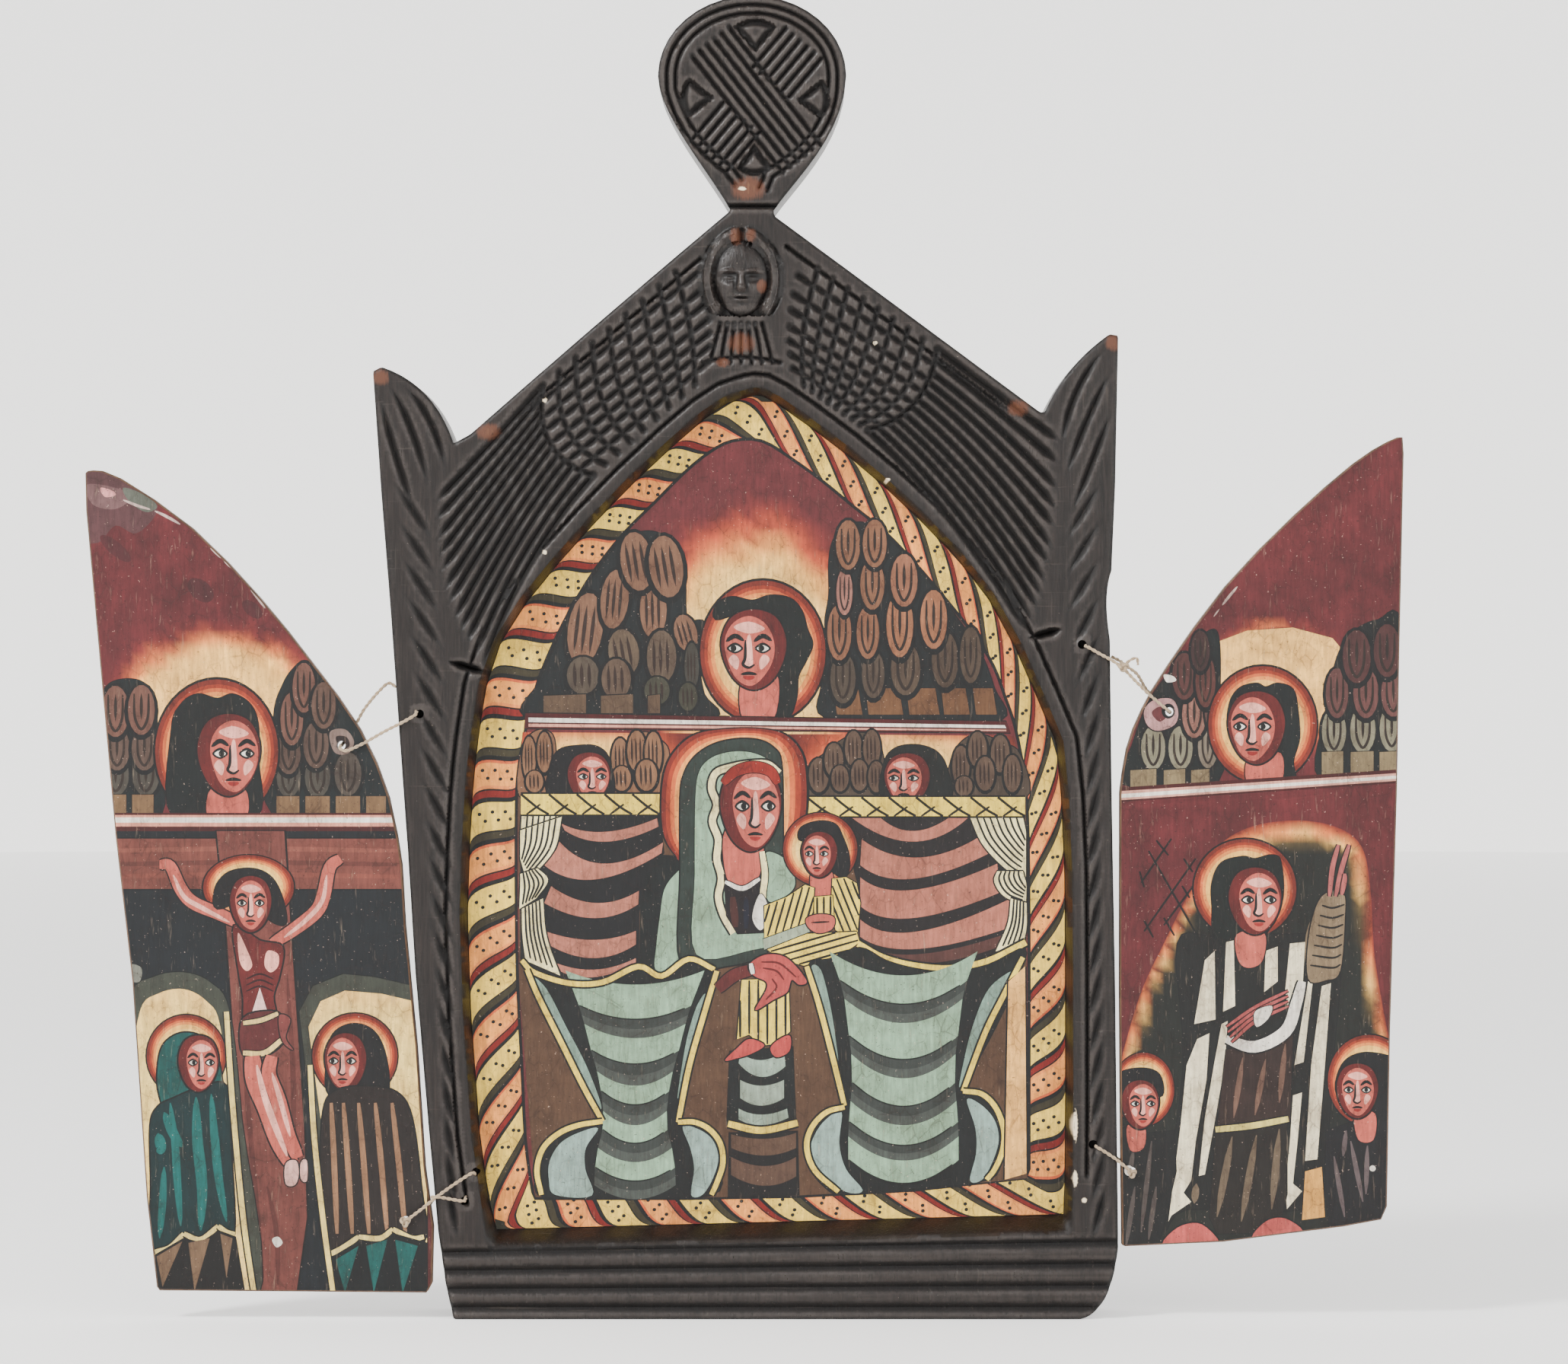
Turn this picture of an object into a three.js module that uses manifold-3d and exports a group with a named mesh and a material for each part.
// Carved triptych altarpiece: a dark board with a horned gable and a round finial frames a sunken
// painted field, and two painted doors hang beside it on cord ties. Millimetres, +Z up, the painted
// side faces -Y and the foot stands on Z = 0. The doors are modelled lying open.

import * as THREE from 'three';
import { mergeVertices } from 'three/addons/utils/BufferGeometryUtils.js';
import Module from 'manifold-3d';

const wasm = await Module();
wasm.setup();
const { Manifold, Mesh } = wasm;

// ---------------------------------------------------------------- driving dimensions

const boardDepth = 46;
const knotStand = 4.4;
const front = (knotStand - boardDepth) / 2;
const back = front + boardDepth;

const fieldDepth = 13;
const revealSplay = 3;
const sillRise = 8;
const rimWidth = 6.5;
const mouldingWidth = 8;

const doorThickness = 9;
const doorSetBack = 0.6;
const doorFront = front + doorSetBack;
const doorBack = doorFront + doorThickness;
const doorEdgeBevel = 0.7;

const cordRadius = 0.8;
const holeRadius = 2.1;
const cordGap = 0.4;
const overFrame = front - cordGap - cordRadius;
const overDoor = doorFront - cordGap - cordRadius;
const behindDoor = doorBack + cordGap + cordRadius;

const finestMark = 0.05;

// ---------------------------------------------------------------- small helpers

const vec2 = ([x, z]) => new THREE.Vector2(x, z);

// A smooth line through a few points of the front view.
function smooth(points, steps) {
  return new THREE.SplineCurve(points.map(vec2)).getPoints(steps);
}

// A straight or bent line between two points, with an optional pull point.
function bend(start, pull, end, steps) {
  return new THREE.QuadraticBezierCurve(vec2(start), vec2(pull), vec2(end)).getPoints(steps);
}

function straight(start, end, steps = 1) {
  const line = new THREE.LineCurve(vec2(start), vec2(end));
  return line.getPoints(steps);
}

// Moves every point of a line sideways; a positive distance goes to the left of its direction.
function offset(path, distance, closed = false) {
  const count = path.length;
  return path.map((point, i) => {
    const before = closed ? path[(i + count - 1) % count] : path[Math.max(i - 1, 0)];
    const after = closed ? path[(i + 1) % count] : path[Math.min(i + 1, count - 1)];
    const along = after.clone().sub(before).normalize();
    return new THREE.Vector2(point.x - along.y * distance, point.y + along.x * distance);
  });
}

function withoutRepeats(points) {
  return points.filter((p, i) => p.distanceTo(points[(i + 1) % points.length]) > 0.05);
}

// three.js geometry to a solid that can be joined and cut.
function toSolid(geometry) {
  const bare = geometry.clone();
  bare.deleteAttribute('uv');
  bare.deleteAttribute('normal');
  const merged = mergeVertices(bare, 1e-4);
  return new Manifold(new Mesh({
    numProp: 3,
    vertProperties: new Float32Array(merged.attributes.position.array),
    triVerts: new Uint32Array(merged.index.array),
  }));
}

// Back to geometry, with slivers thinner than the finest tool mark dropped.
function toGeometry(solid) {
  const mesh = solid.asOriginal().simplify(finestMark).getMesh();
  const geometry = new THREE.BufferGeometry();
  geometry.setAttribute('position', new THREE.BufferAttribute(new Float32Array(mesh.vertProperties), 3));
  geometry.setIndex(new THREE.BufferAttribute(new Uint32Array(mesh.triVerts), 1));
  const flat = geometry.toNonIndexed();
  flat.computeVertexNormals();
  return flat;
}

// The triangles that close a ring, all turning the same way as the ring itself.
function capTriangles(ring) {
  if (ring.length === 3) return [[0, 1, 2]];
  const flat = ring.map(([x, , z]) => new THREE.Vector2(x, z));
  const turn = Math.sign(THREE.ShapeUtils.area(flat));
  return THREE.ShapeUtils.triangulateShape(flat, []).map(([a, b, c]) => {
    const same = Math.sign(THREE.ShapeUtils.area([flat[a], flat[b], flat[c]])) === turn;
    return same ? [a, b, c] : [a, c, b];
  });
}

// A solid whose cross-sections are rings of the same number of points, capped at both ends.
function loft(rings) {
  const size = rings[0].length;
  const last = (rings.length - 1) * size;
  const faces = [];
  for (let i = 0; i + 1 < rings.length; i++) {
    for (let j = 0; j < size; j++) {
      const a = i * size + j;
      const b = i * size + (j + 1) % size;
      faces.push([a, b, b + size], [a, b + size, a + size]);
    }
  }
  for (const [a, b, c] of capTriangles(rings[0])) {
    faces.push([a, c, b], [last + a, last + b, last + c]);
  }
  const build = (triangles) => {
    const geometry = new THREE.BufferGeometry();
    geometry.setAttribute('position', new THREE.Float32BufferAttribute(rings.flat(2), 3));
    geometry.setIndex(triangles.flat());
    return toSolid(geometry);
  };
  const solid = build(faces);
  return solid.volume() > 0 ? solid : build(faces.map(([a, b, c]) => [a, c, b]));
}

// A slab from a front-view outline between two depths.
function slab(outline, nearY, farY, bevel = 0) {
  const geometry = new THREE.ExtrudeGeometry(new THREE.Shape(outline), {
    depth: farY - nearY - 2 * bevel,
    steps: 1,
    bevelEnabled: bevel > 0,
    bevelThickness: bevel,
    bevelSize: bevel,
    bevelOffset: -bevel,
    bevelSegments: 1,
  });
  geometry.rotateX(Math.PI / 2);
  geometry.translate(0, farY - bevel, 0);
  return toSolid(geometry);
}

// Cuts a V-shaped line into a face that lies at faceY; side is 1 for a face that looks towards -Y.
// The cut narrows towards an end where that end's taper is above 0.
function vCut(path, width, depth, { faceY = front, side = 1, taper = [0, 0] } = {}) {
  const lift = 0.6;
  const count = path.length - 1;
  const rings = path.map((point, i) => {
    const before = path[Math.max(i - 1, 0)];
    const after = path[Math.min(i + 1, count)];
    const along = after.clone().sub(before).normalize();
    const t = i / count;
    const rise = taper[0] > 0 ? Math.min(1, t / taper[0]) : 1;
    const fall = taper[1] > 0 ? Math.min(1, (1 - t) / taper[1]) : 1;
    const scale = Math.max(0.12, Math.min(rise, fall));
    const half = width * scale * 0.5 * (1 + lift / (depth * scale));
    return [
      [point.x - along.y * half, faceY - side * lift, point.y + along.x * half],
      [point.x + along.y * half, faceY - side * lift, point.y - along.x * half],
      [point.x, faceY + side * depth * scale, point.y],
    ];
  });
  return loft(rings);
}

// A round hole along a straight line between two points in space.
function drill(start, end, radius) {
  const from = new THREE.Vector3(...start);
  const to = new THREE.Vector3(...end);
  const geometry = new THREE.CylinderGeometry(radius, radius, from.distanceTo(to), 8);
  const turn = new THREE.Quaternion().setFromUnitVectors(
    new THREE.Vector3(0, 1, 0),
    to.clone().sub(from).normalize(),
  );
  geometry.applyQuaternion(turn);
  const middle = from.add(to).multiplyScalar(0.5);
  geometry.translate(middle.x, middle.y, middle.z);
  return toSolid(geometry);
}

// A cord through a few points; its ends may stand inside a hole.
function cord(points, steps, radius = cordRadius) {
  const route = new THREE.CatmullRomCurve3(points.map((p) => new THREE.Vector3(...p)), false, 'centripetal');
  const section = new THREE.Shape();
  section.absarc(0, 0, radius, 0, Math.PI * 2);
  const geometry = new THREE.ExtrudeGeometry(section, {
    steps,
    curveSegments: 4,
    bevelEnabled: false,
    extrudePath: route,
  });
  return toSolid(geometry);
}

function knot(centre, radii) {
  const geometry = new THREE.SphereGeometry(1, 8, 5);
  geometry.scale(...radii);
  geometry.translate(...centre);
  return toSolid(geometry);
}

// ---------------------------------------------------------------- board outline

const finial = { x: 3.5, z: 573, halfWidth: 43.4, halfHeight: 37, neckLeft: -6.3, neckRight: 13.4, neckZ: 511 };
const gableLeft = { top: [-7, 510.5], pull: [-62, 464.5], foot: [-126.4, 407.8] };
const gableRight = { top: [13.7, 508.5], pull: [73, 465], foot: [136.2, 418] };
const hornLeft = { valley: [-134.1, 403.6], pull: [-143, 431], tip: [-167.3, 438.9], corner: [-171.2, 436.8] };
const hornRight = { valley: [138.4, 418], pull: [148, 440], tip: [168.2, 454], corner: [172.2, 453.3] };

function boardOutline() {
  const line = new THREE.Path();
  line.moveTo(-134, 0);
  line.lineTo(154.7, 0);
  line.quadraticCurveTo(169, 3, 172.2, 33.3);
  line.lineTo(170.8, 152.3);
  line.lineTo(169.1, 247.8);
  line.lineTo(168.4, 313);
  line.quadraticCurveTo(165, 334, 169.1, 345);
  line.lineTo(170.8, 384.3);
  line.lineTo(...hornRight.corner);
  line.lineTo(...hornRight.tip);
  line.quadraticCurveTo(...hornRight.pull, ...hornRight.valley);
  line.lineTo(...gableRight.foot);
  line.quadraticCurveTo(...gableRight.pull, ...gableRight.top);
  line.lineTo(finial.neckRight, finial.neckZ);
  const right = finial.x + finial.halfWidth;
  const left = finial.x - finial.halfWidth;
  line.bezierCurveTo(22, 524, right - 1, 545, right, finial.z);
  line.absellipse(finial.x, finial.z, finial.halfWidth, finial.halfHeight, 0, Math.PI, false);
  line.bezierCurveTo(left, 556, -17, 530, finial.neckLeft, finial.neckZ);
  line.lineTo(...gableLeft.top);
  line.quadraticCurveTo(...gableLeft.pull, ...gableLeft.foot);
  line.lineTo(...hornLeft.valley);
  line.quadraticCurveTo(...hornLeft.pull, ...hornLeft.tip);
  line.lineTo(...hornLeft.corner);
  line.lineTo(-167.3, 379.8);
  line.lineTo(-163.1, 327.3);
  line.lineTo(-155.1, 215.3);
  line.lineTo(-151.6, 159.3);
  line.lineTo(-145.6, 89.3);
  line.lineTo(-141.1, 40.3);
  line.lineTo(-137.6, 15.8);
  return withoutRepeats(line.getPoints(10));
}

// ---------------------------------------------------------------- sunken field

// The floor's edge: up the left side, over the pointed arch and down the right side.
const apex = [3, 426];
const arch = [
  ...smooth([[-114.8, 40.3], [-121.8, 75.3], [-128, 166.3], [-127, 225], [-124.6, 257.3]], 7),
  ...smooth([[-124.6, 257.3], [-113.1, 311.5], [-69.3, 367.5], [-18, 416], apex], 12).slice(1),
  ...smooth([apex, [15, 422.5], [63.7, 385], [112.7, 332.5], [144, 266]], 12).slice(1),
  ...smooth([[144, 266], [147.6, 225], [148.4, 160], [148.4, 82.3], [147.7, 47.3]], 6).slice(1),
];

// The mouth lies on the front face: wider all round by the splay, and lower by the sloping sill.
function mouthEdge() {
  const wide = offset(arch, revealSplay);
  wide[0].set(wide[0].x, arch[0].y - sillRise);
  wide[wide.length - 1].set(wide[wide.length - 1].x, arch[arch.length - 1].y - sillRise);
  return wide;
}

function sunkenField() {
  const mouth = mouthEdge();
  const reach = 1 / fieldDepth;
  const lifted = mouth.map((p, i) => p.clone().add(p.clone().sub(arch[i]).multiplyScalar(reach)));
  return loft([
    lifted.map((p) => [p.x, front - 1, p.y]),
    arch.map((p) => [p.x, front + fieldDepth, p.y]),
  ]);
}

// ---------------------------------------------------------------- wing carving

// A wing spreads from the angel's hood to its scale edge, then fans out as long feathers to the post.
const wings = [
  {
    hood: [[-24, 489], [-13, 460], [-17, 436]],
    scaleEdge: [[-93, 430], [-98, 398], [-70, 389]],
    feather: [[-118, 402], [-103, 352]],
    post: [[-142, 377], [-143, 328], [-121, 300]],
    notch: [[-136, 303], [-119, 298]],
  },
  {
    hood: [[27, 489], [16, 455], [24, 433]],
    scaleEdge: [[89, 447], [84, 416], [57, 410]],
    feather: [[118, 425], [99, 371]],
    post: [[145, 405], [145, 342], [131, 316]],
    notch: [[131, 314], [146, 318]],
  },
];
const featherCount = 11;
const scaleRows = 8;
const scaleColumns = 9;

const onBend = (points, t) => new THREE.QuadraticBezierCurve(...points.map(vec2)).getPoint(t);
const onLine = (points, t) => vec2(points[0]).lerp(vec2(points[1]), t);
const pair = (v) => [v.x, v.y];

function wingCuts(wing) {
  const cuts = [];
  for (let k = 0; k <= featherCount; k++) {
    const t = k / featherCount;
    const start = pair(onBend(wing.scaleEdge, t));
    const end = pair(onBend(wing.post, t));
    cuts.push(vCut(bend(start, pair(onLine(wing.feather, t)), end, 4), 3.6, 2.4, { taper: [0, 0.1] }));
  }
  for (let row = 1; row < scaleRows; row++) {
    const t = row / scaleRows;
    cuts.push(vCut(straight(pair(onBend(wing.hood, t)), pair(onBend(wing.scaleEdge, t))), 3, 2));
  }
  for (let column = 1; column <= scaleColumns; column++) {
    const share = column / scaleColumns;
    const line = [];
    for (let step = 0; step <= 4; step++) {
      const from = onBend(wing.hood, step / 4);
      line.push(from.lerp(onBend(wing.scaleEdge, step / 4), share));
    }
    cuts.push(vCut(line, 3, column === scaleColumns ? 2.6 : 2));
  }
  cuts.push(vCut(straight(...wing.notch, 2), 5, 6, { taper: [0.3, 0.3] }));
  return cuts;
}

// ---------------------------------------------------------------- mouldings, posts, horns and foot

function mouldingCuts() {
  const mouth = mouthEdge();
  const rimLine = offset(mouth, rimWidth).slice(1, -1);
  const left = bend(gableLeft.foot, gableLeft.pull, gableLeft.top, 6);
  const right = bend(gableRight.top, gableRight.pull, gableRight.foot, 6);
  return [
    vCut(rimLine, 2.6, 2.2),
    vCut(offset(left, -mouldingWidth).slice(0, -1), 2.6, 2.4, { taper: [0.15, 0] }),
    vCut(offset(right, -mouldingWidth).slice(1), 2.6, 2.4, { taper: [0, 0.15] }),
  ];
}

// Leaf-shaped gouges climb each post, slanting down towards the painted field.
const post = { pitch: 17, rise: 26, inset: 5, leaf: 4.6, gougeDepth: 1.9, lowZ: 62, highZ: 398 };

function postCuts(edgeX, inward, reach) {
  const cuts = [];
  for (let z = post.lowZ; z <= post.highZ; z += post.pitch) {
    const outer = edgeX(z) + inward * post.inset;
    const inner = edgeX(z - post.rise) + inward * reach(z - post.rise);
    cuts.push(vCut(
      bend([outer, z], [(outer + inner) / 2 - inward, z - post.rise * 0.42], [inner, z - post.rise], 3),
      post.leaf,
      post.gougeDepth,
      { taper: [0.4, 0.4] },
    ));
  }
  return cuts;
}

const between = (z, low, high) => THREE.MathUtils.clamp((z - low) / (high - low), 0, 1);
const leftEdge = (z) => -139.5 - 28 * between(z, 30, 400) + 2.5 * Math.sin(Math.PI * between(z, 30, 400));
const rightEdge = (z) => 172 - 3 * between(z, 30, 240);
const leftReach = (z) => 8 + 9 * between(z, 60, 220) + 3 * between(z, 220, 300);
const rightReach = (z) => 12 + 9 * between(z, 250, 330);

function hornCuts() {
  return [
    vCut(bend([-164, 431], [-152, 412], [-146, 385], 4), 4.4, 2.4, { taper: [0.3, 0.3] }),
    vCut(bend([-157, 430], [-143, 418], [-138, 392], 4), 4.4, 2.4, { taper: [0.3, 0.3] }),
    vCut(bend([-168, 425], [-162, 400], [-152, 372], 4), 4, 2, { taper: [0.3, 0.3] }),
    vCut(bend([166, 447], [150, 430], [146, 402], 4), 4.4, 2.4, { taper: [0.3, 0.3] }),
    vCut(bend([169, 437], [158, 418], [148, 388], 4), 4.4, 2.4, { taper: [0.3, 0.3] }),
    vCut(bend([169, 418], [162, 400], [151, 372], 4), 4.4, 2.4, { taper: [0.3, 0.3] }),
  ];
}

const flute = { bottom: 5.5, pitch: 8.4, count: 4, width: 5.4, depth: 2.2, lean: 5 };

function fluteCuts() {
  const cuts = [];
  for (let k = 0; k < flute.count; k++) {
    const z = flute.bottom + k * flute.pitch;
    const lean = flute.lean * k / (flute.count - 1);
    cuts.push(vCut(straight([-141, z], [174, z + lean]), flute.width, flute.depth));
  }
  return cuts;
}

// ---------------------------------------------------------------- finial carving

// Two rim rings hold a woven cross; between its arms lie sunk fields with a small boss in each.
const weave = { x: 5.3, z: 562, pitch: 4.3, ridges: 5, run: 34, over: -52, under: 50 };
const sunkFields = [
  { x: 5, z: 591, turn: 0, width: 20, height: 15 },
  { x: -21, z: 563, turn: 90, width: 19, height: 15 },
  { x: 31, z: 562, turn: -90, width: 19, height: 15 },
  { x: 4.5, z: 535, turn: 180, width: 17, height: 14 },
];

function ringPath(inset) {
  const ring = new THREE.Path();
  const right = finial.x + finial.halfWidth;
  const left = finial.x - finial.halfWidth;
  ring.moveTo(finial.neckRight + 1, finial.neckZ + 8);
  ring.bezierCurveTo(24, 527, right - 1, 545, right, finial.z);
  ring.absellipse(finial.x, finial.z, finial.halfWidth, finial.halfHeight, 0, Math.PI, false);
  ring.bezierCurveTo(left, 556, -17, 530, finial.neckLeft - 1, finial.neckZ + 9);
  return offset(withoutRepeats(ring.getPoints(6)), inset);
}

function weaveCuts() {
  const cuts = [];
  for (const [lean, broken] of [[weave.over, false], [weave.under, true]]) {
    const angle = THREE.MathUtils.degToRad(lean);
    const along = new THREE.Vector2(Math.cos(angle), Math.sin(angle));
    const across = new THREE.Vector2(-along.y, along.x);
    const halfBand = weave.pitch * weave.ridges / 2;
    for (let k = 0; k <= weave.ridges; k++) {
      const middle = new THREE.Vector2(weave.x, weave.z).addScaledVector(across, k * weave.pitch - halfBand);
      const point = (s) => pair(middle.clone().addScaledVector(along, s));
      if (broken) {
        cuts.push(vCut(straight(point(-weave.run), point(-halfBand)), 2.4, 2));
        cuts.push(vCut(straight(point(halfBand), point(weave.run)), 2.4, 2));
      } else {
        cuts.push(vCut(straight(point(-weave.run), point(weave.run)), 2.4, 2));
      }
    }
  }
  return cuts;
}

// A field is a triangle with a bowed outer side; the boss left standing in it is a small pyramid.
function sunkField({ x, z, turn, width, height }) {
  const angle = THREE.MathUtils.degToRad(turn);
  const place = (u, v) => new THREE.Vector2(
    x + u * Math.cos(angle) - v * Math.sin(angle),
    z + u * Math.sin(angle) + v * Math.cos(angle),
  );
  const bow = bend([-width / 2, height * 0.3], [0, height * 0.85], [width / 2, height * 0.3], 4);
  const edge = [place(0, -height / 2), ...bow.map((p) => place(p.x, p.y)).reverse()];
  const floor = front + 2.6;
  const pocket = slab(edge, front - 1, floor);
  const boss = loft([
    edge.map((p) => [x + (p.x - x) * 0.62, floor + 0.2, z + (p.y - z) * 0.62]),
    edge.map((p) => [x + (p.x - x) * 0.2, front + 0.5, z + (p.y - z) * 0.2]),
  ]);
  return pocket.subtract(boss);
}

// ---------------------------------------------------------------- carved angel

const head = { x: -1.5, z: 479.5, halfWidth: 13, halfHeight: 17.5, relief: 5.25, ground: 2.6 };
const hood = { width: 22, height: 28, pitch: 3.6, bands: 3 };
const chest = { topZ: 459, bottomZ: 441, topHalf: 12, bottomHalf: 18, flutes: 6 };

function ellipsoid(x, y, z, radii, segments = [14, 10]) {
  const geometry = new THREE.SphereGeometry(1, ...segments);
  geometry.scale(...radii);
  geometry.translate(x, y, z);
  return toSolid(geometry);
}

// The head's ground is cut back, then the face stands in it with brows, nose, lips and eyelids.
function angelGround() {
  const edge = [];
  for (let step = 0; step <= 12; step++) {
    const angle = -0.28 * Math.PI + step / 12 * 1.56 * Math.PI;
    edge.push(new THREE.Vector2(
      head.x + hood.width * Math.cos(angle) * 0.78,
      head.z + hood.height * Math.sin(angle) * 0.74,
    ));
  }
  return slab(edge, front - 1, front + head.ground);
}

function angelFace() {
  const { x, z, halfWidth, halfHeight, relief } = head;
  const base = front + head.ground + 0.5;
  const crown = relief + 0.5;
  const parts = [
    ellipsoid(x, base, z, [halfWidth, crown, halfHeight]),
    ellipsoid(x, base + 1, z + 3.5, [halfWidth + 2.6, crown - 1.2, halfHeight]),
  ];
  const features = [
    loft([
      [[x - 1.1, base, z + 5], [x + 1.1, base, z + 5], [x, base - crown - 0.1, z + 5]],
      [[x - 2.3, base, z - 4], [x + 2.3, base, z - 4], [x, base - crown - 1.7, z - 4]],
      [[x - 1.4, base, z - 5.4], [x + 1.4, base, z - 5.4], [x, base - crown + 0.6, z - 5.4]],
    ]),
    ellipsoid(x, base - crown + 0.9, z - 8.6, [3.2, 1.2, 0.8], [8, 5]),
    ellipsoid(x, base - crown + 1.2, z - 10.4, [2.7, 1.2, 0.8], [8, 5]),
  ];
  const sockets = [];
  for (const side of [-1, 1]) {
    const eyeX = x + side * 5.2;
    features.push(ellipsoid(eyeX, base - crown + 1.9, z + 0.6, [2.5, 1.2, 1.3], [8, 5]));
    sockets.push(ellipsoid(eyeX, base - crown - 0.2, z + 0.7, [3.6, 1.5, 2.1], [8, 5]));
  }
  return Manifold.union(parts).subtract(Manifold.union(sockets)).add(Manifold.union(features));
}

// Hair lies round the face in bands that end at the shoulders.
function hairCuts() {
  const cuts = [];
  for (let k = 0; k < hood.bands; k++) {
    const line = [];
    for (let step = 0; step <= 9; step++) {
      const angle = -0.2 * Math.PI + step / 9 * 1.4 * Math.PI;
      line.push(new THREE.Vector2(
        head.x + (hood.width - 5 + k * hood.pitch) * 0.78 * Math.cos(angle),
        head.z + (hood.height - 5 + k * hood.pitch) * 0.72 * Math.sin(angle),
      ));
    }
    cuts.push(vCut(line, 2.4, 2));
  }
  return cuts;
}

function chestCuts() {
  const cuts = [];
  for (let k = 0; k <= chest.flutes; k++) {
    const share = k / chest.flutes * 2 - 1;
    cuts.push(vCut(straight(
      [head.x + share * chest.topHalf * 0.8, chest.topZ],
      [head.x + share * chest.bottomHalf * 0.8, chest.bottomZ],
    ), 2.6, 1.9, { taper: [0, 0] }));
  }
  const hem = [head.x - chest.bottomHalf, chest.bottomZ];
  const hemEnd = [head.x + chest.bottomHalf, chest.bottomZ];
  cuts.push(vCut(bend(hem, [head.x, chest.bottomZ + 5], hemEnd, 6), 2.6, 2));
  return cuts;
}

// ---------------------------------------------------------------- doors

const leftDoorOutline = [
  ...smooth([[-303.8, 390.3], [-300, 391.3], [-288, 387.8], [-254.5, 364.7], [-223, 332.2],
    [-198.8, 302], [-177.1, 272], [-163.8, 240.5], [-157.9, 209]], 16),
  ...[[-156.3, 181], [-150.9, 125.3], [-147.2, 70], [-143.4, 42.4], [-144, 16.5], [-146.3, 12.3],
    [-269.9, 13.3], [-270.8, 15], [-275.5, 56.4], [-282.1, 155.8], [-289.8, 222.3], [-295.8, 288.8],
    [-303.4, 373]].map(vec2),
].reverse();

const rightDoorOutline = [
  ...smooth([[303.2, 407.1], [296.5, 404.6], [280.7, 394.5], [253.1, 370.3], [221.6, 337.8],
    [195.3, 301.7], [183.1, 281.1], [176.1, 262.9], [173, 242.6]], 16),
  ...[[172.9, 152.3], [173.4, 82.3], [174, 33.6], [220.5, 35.7], [275.8, 42.7], [293.6, 46],
    [296.1, 52], [297.5, 132.7], [300.7, 243.3], [301.7, 302.8], [303.8, 399]].map(vec2),
];

// A shallow line follows the back of a door, inside its edge.
function doorBackLine(outline, inset) {
  const ring = offset(outline, inset, true);
  ring.push(ring[0].clone());
  return vCut(ring, 2, 0.9, { faceY: doorBack, side: -1 });
}

function door(outline, inward, holes) {
  const body = slab(outline, doorFront, doorBack, doorEdgeBevel);
  const cuts = holes.map(([x, z]) => drill([x, doorFront - 1, z], [x, doorBack + 1, z], holeRadius));
  cuts.push(doorBackLine(withoutRepeats(outline), inward * 10));
  return body.subtract(Manifold.union(cuts));
}

// ---------------------------------------------------------------- cord ties

// Each tie loops from a slanting hole through the post's edge to a hole in the door and back.
const ties = {
  leftUpper: { frontHole: [-149.8, 279], sideHole: [-161.6, 292], doorHole: [-185.9, 264.5] },
  leftLower: { frontHole: [-123.5, 68], sideHole: [-129, 54.6], doorHole: [-156, 45.5] },
  rightUpper: { frontHole: [155.6, 311], sideHole: [168.9, 305.5], doorHole: [196, 280] },
  rightLower: { frontHole: [160.6, 80.6], sideHole: [171.6, 74], doorHole: [178.6, 68] },
};
const sideHoleY = front + 9;

function tieHoles() {
  const holes = [];
  for (const name of ['leftUpper', 'rightUpper', 'rightLower']) {
    const { frontHole, sideHole } = ties[name];
    const from = new THREE.Vector3(frontHole[0], front, frontHole[1]);
    const to = new THREE.Vector3(sideHole[0], sideHoleY, sideHole[1]);
    const step = to.clone().sub(from).normalize().multiplyScalar(4);
    holes.push(drill(from.clone().sub(step).toArray(), to.clone().add(step).toArray(), holeRadius));
  }
  const { frontHole, sideHole } = ties.leftLower;
  const deep = front + 7;
  holes.push(drill([frontHole[0], front - 1, frontHole[1]], [frontHole[0] - 2, deep, frontHole[1] - 4], holeRadius));
  holes.push(drill([sideHole[0], front - 1, sideHole[1]], [sideHole[0] + 1, deep, sideHole[1] + 4], holeRadius));
  return holes;
}

function tieLeftUpper() {
  const loop = cord([
    [-151.4, front + 1.6, 280.6],
    [-151.2, overFrame - 0.2, 279],
    [-157, overFrame - 0.4, 275.4],
    [-166, overFrame, 270.8],
    [-176, overDoor - 0.3, 265.2],
    [-184.2, overDoor - 0.5, 262],
    [-186.2, overDoor - 0.1, 263.2],
    [-186.1, doorFront + 2, 264.5],
    [-185.8, doorBack - 1, 264.8],
    [-184.6, behindDoor, 267.2],
    [-180, behindDoor + 0.4, 274],
    [-176, behindDoor - 1, 281],
    [-169, sideHoleY - 0.6, 289.4],
    [-164.4, sideHoleY + 0.2, 293.2],
    [-161, sideHoleY - 1.4, 291.4],
  ], 32);
  return loop;
}

function tieLeftLower() {
  const loop = cord([
    [-128.6, front + 2.4, 56.3],
    [-129, overFrame, 54.8],
    [-134, overFrame - 0.2, 55.4],
    [-141, overFrame - 0.1, 56.6],
    [-143.6, overFrame + 0.1, 56.6],
    [-143.95, front + 2, 56.2],
    [-143.95, behindDoor - 1.8, 55],
    [-144.6, behindDoor + 0.6, 53.4],
    [-148.5, behindDoor + 0.9, 50],
    [-153, behindDoor + 0.5, 47],
    [-155.6, doorBack + 0.4, 45.6],
    [-156, doorBack - 4, 45.5],
    [-156, doorFront + 0.5, 45.5],
    [-154.6, overDoor - 0.8, 46.6],
    [-149, overDoor - 1.2, 50.8],
    [-141, overFrame - 0.3, 57.2],
    [-132, overFrame - 0.8, 63.6],
    [-125, overFrame - 0.4, 67.8],
    [-124.2, front + 1.8, 66.6],
  ], 34);
  return loop.add(knot([-156.2, overDoor - 1.2, 45.3], [2.6, 1.8, 2.6]));
}

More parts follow.
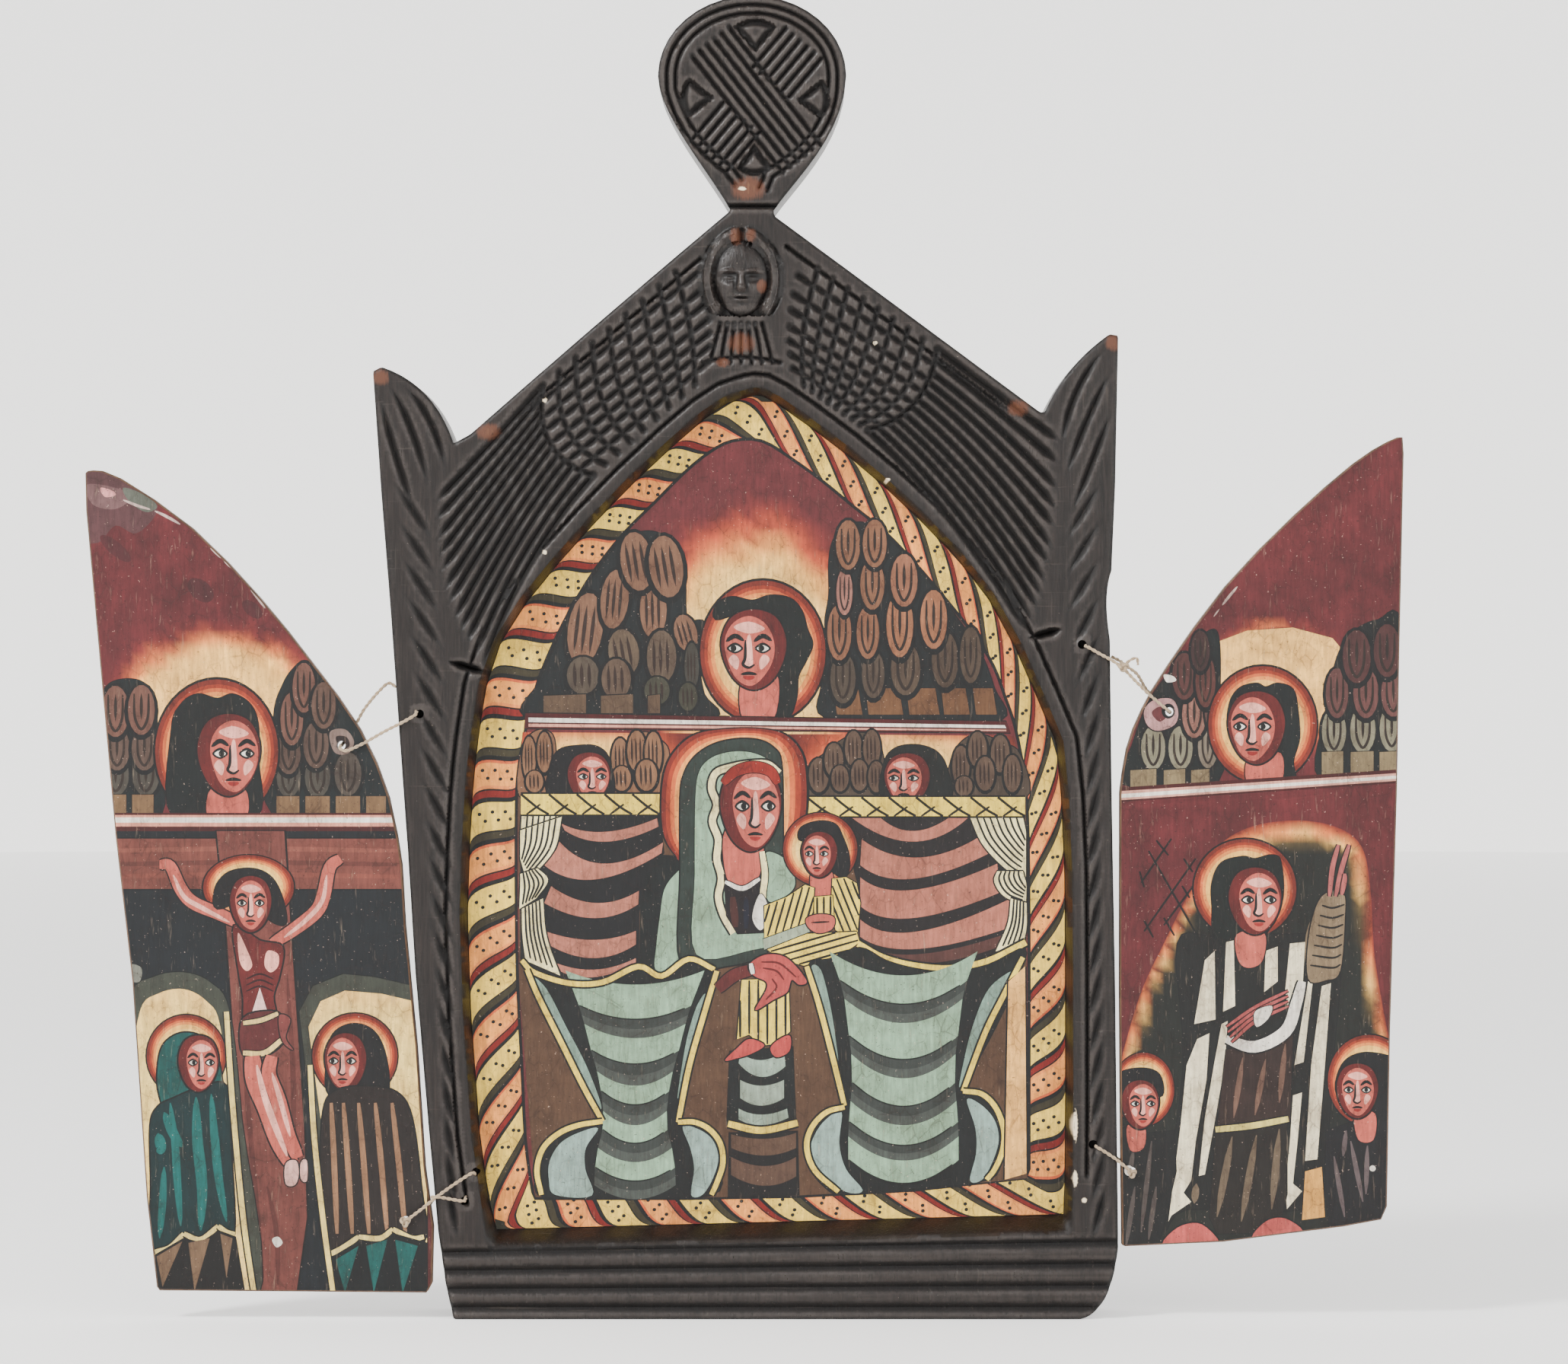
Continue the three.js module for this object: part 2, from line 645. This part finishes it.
function tieRightUpper() {
  const out = cord([
    [157.2, front + 1.6, 310.2],
    [157.4, overFrame, 310.2],
    [163, overFrame - 0.3, 307],
    [169.5, overFrame - 0.5, 303.4],
    [173.6, overDoor - 1, 300.6],
    [180, overDoor - 0.3, 294.2],
    [187, overDoor, 287.4],
    [194.6, overDoor - 0.3, 281],
    [195.9, doorFront + 1.2, 280.1],
    [196, doorBack - 0.6, 280],
    [193, behindDoor, 283],
    [186, behindDoor, 290],
    [181, doorFront + 4, 297.4],
    [176.4, doorFront + 1.4, 300.8],
    [173.4, sideHoleY - 3, 303.4],
    [169.6, sideHoleY - 0.6, 305.4],
  ], 34);
  const tail = cord([
    [174.6, overDoor - 0.9, 301.4],
    [178.4, overDoor - 0.8, 304.2],
    [180.6, overDoor - 0.6, 304.6],
    [181.2, overDoor - 0.4, 301.6],
  ], 8, cordRadius * 0.8);
  return Manifold.union([out, tail, knot([174.4, overDoor - 1.1, 300.6], [2.9, 1.8, 2.3])]);
}

function tieRightLower() {
  const loop = cord([
    [162, front + 1.6, 79.8],
    [162.2, overFrame, 79.6],
    [166, overFrame - 0.4, 77.4],
    [171, overFrame - 0.2, 74],
    [175, overDoor - 0.2, 70.8],
    [178.2, overDoor - 0.3, 68.2],
    [178.6, doorFront + 2, 68],
    [178.6, doorBack - 1, 68],
    [177.4, behindDoor, 69],
    [174.4, behindDoor + 0.6, 71.4],
    [172.4, sideHoleY + 0.6, 73.4],
    [170, sideHoleY - 1.4, 75],
  ], 32);
  return loop.add(knot([178.4, overDoor - 1.2, 67.6], [2.3, 1.8, 2.3]));
}

// ---------------------------------------------------------------- solids

function altarpiece() {
  const board = slab(boardOutline(), front, back);
  const cuts = [
    sunkenField(),
    ...wings.flatMap(wingCuts),
    ...mouldingCuts(),
    ...postCuts(leftEdge, 1, leftReach),
    ...postCuts(rightEdge, -1, rightReach),
    ...hornCuts(),
    ...fluteCuts(),
    vCut(ringPath(4), 2.4, 2),
    vCut(ringPath(8), 2.4, 2),
    ...weaveCuts(),
    ...sunkFields.map(sunkField),
    vCut(straight([finial.neckLeft - 2, finial.neckZ + 2], [finial.neckRight + 2, finial.neckZ + 2]), 3, 3),
    angelGround(),
    ...hairCuts(),
    ...chestCuts(),
    ...tieHoles(),
  ];
  return board.subtract(Manifold.union(cuts)).add(angelFace());
}

// ---------------------------------------------------------------- materials and nodes

const darkWood = new THREE.MeshStandardMaterial({ color: 0x2d2622, roughness: 0.62, metalness: 0 });
const paintedWood = new THREE.MeshStandardMaterial({ color: 0x7a4a40, roughness: 0.7, metalness: 0 });
const twine = new THREE.MeshStandardMaterial({ color: 0xb5a183, roughness: 0.9, metalness: 0 });

const group = new THREE.Group();

function add(name, solid, material) {
  const mesh = new THREE.Mesh(toGeometry(solid), material);
  mesh.name = name;
  group.add(mesh);
}

add('frame', altarpiece(), darkWood);
add('left_door', door(leftDoorOutline, 1, [ties.leftUpper.doorHole, ties.leftLower.doorHole]), paintedWood);
add('right_door', door(rightDoorOutline, 1, [ties.rightUpper.doorHole, ties.rightLower.doorHole]), paintedWood);
add('tie_left_upper', tieLeftUpper(), twine);
add('tie_left_lower', tieLeftLower(), twine);
add('tie_right_upper', tieRightUpper(), twine);
add('tie_right_lower', tieRightLower(), twine);

export default group;
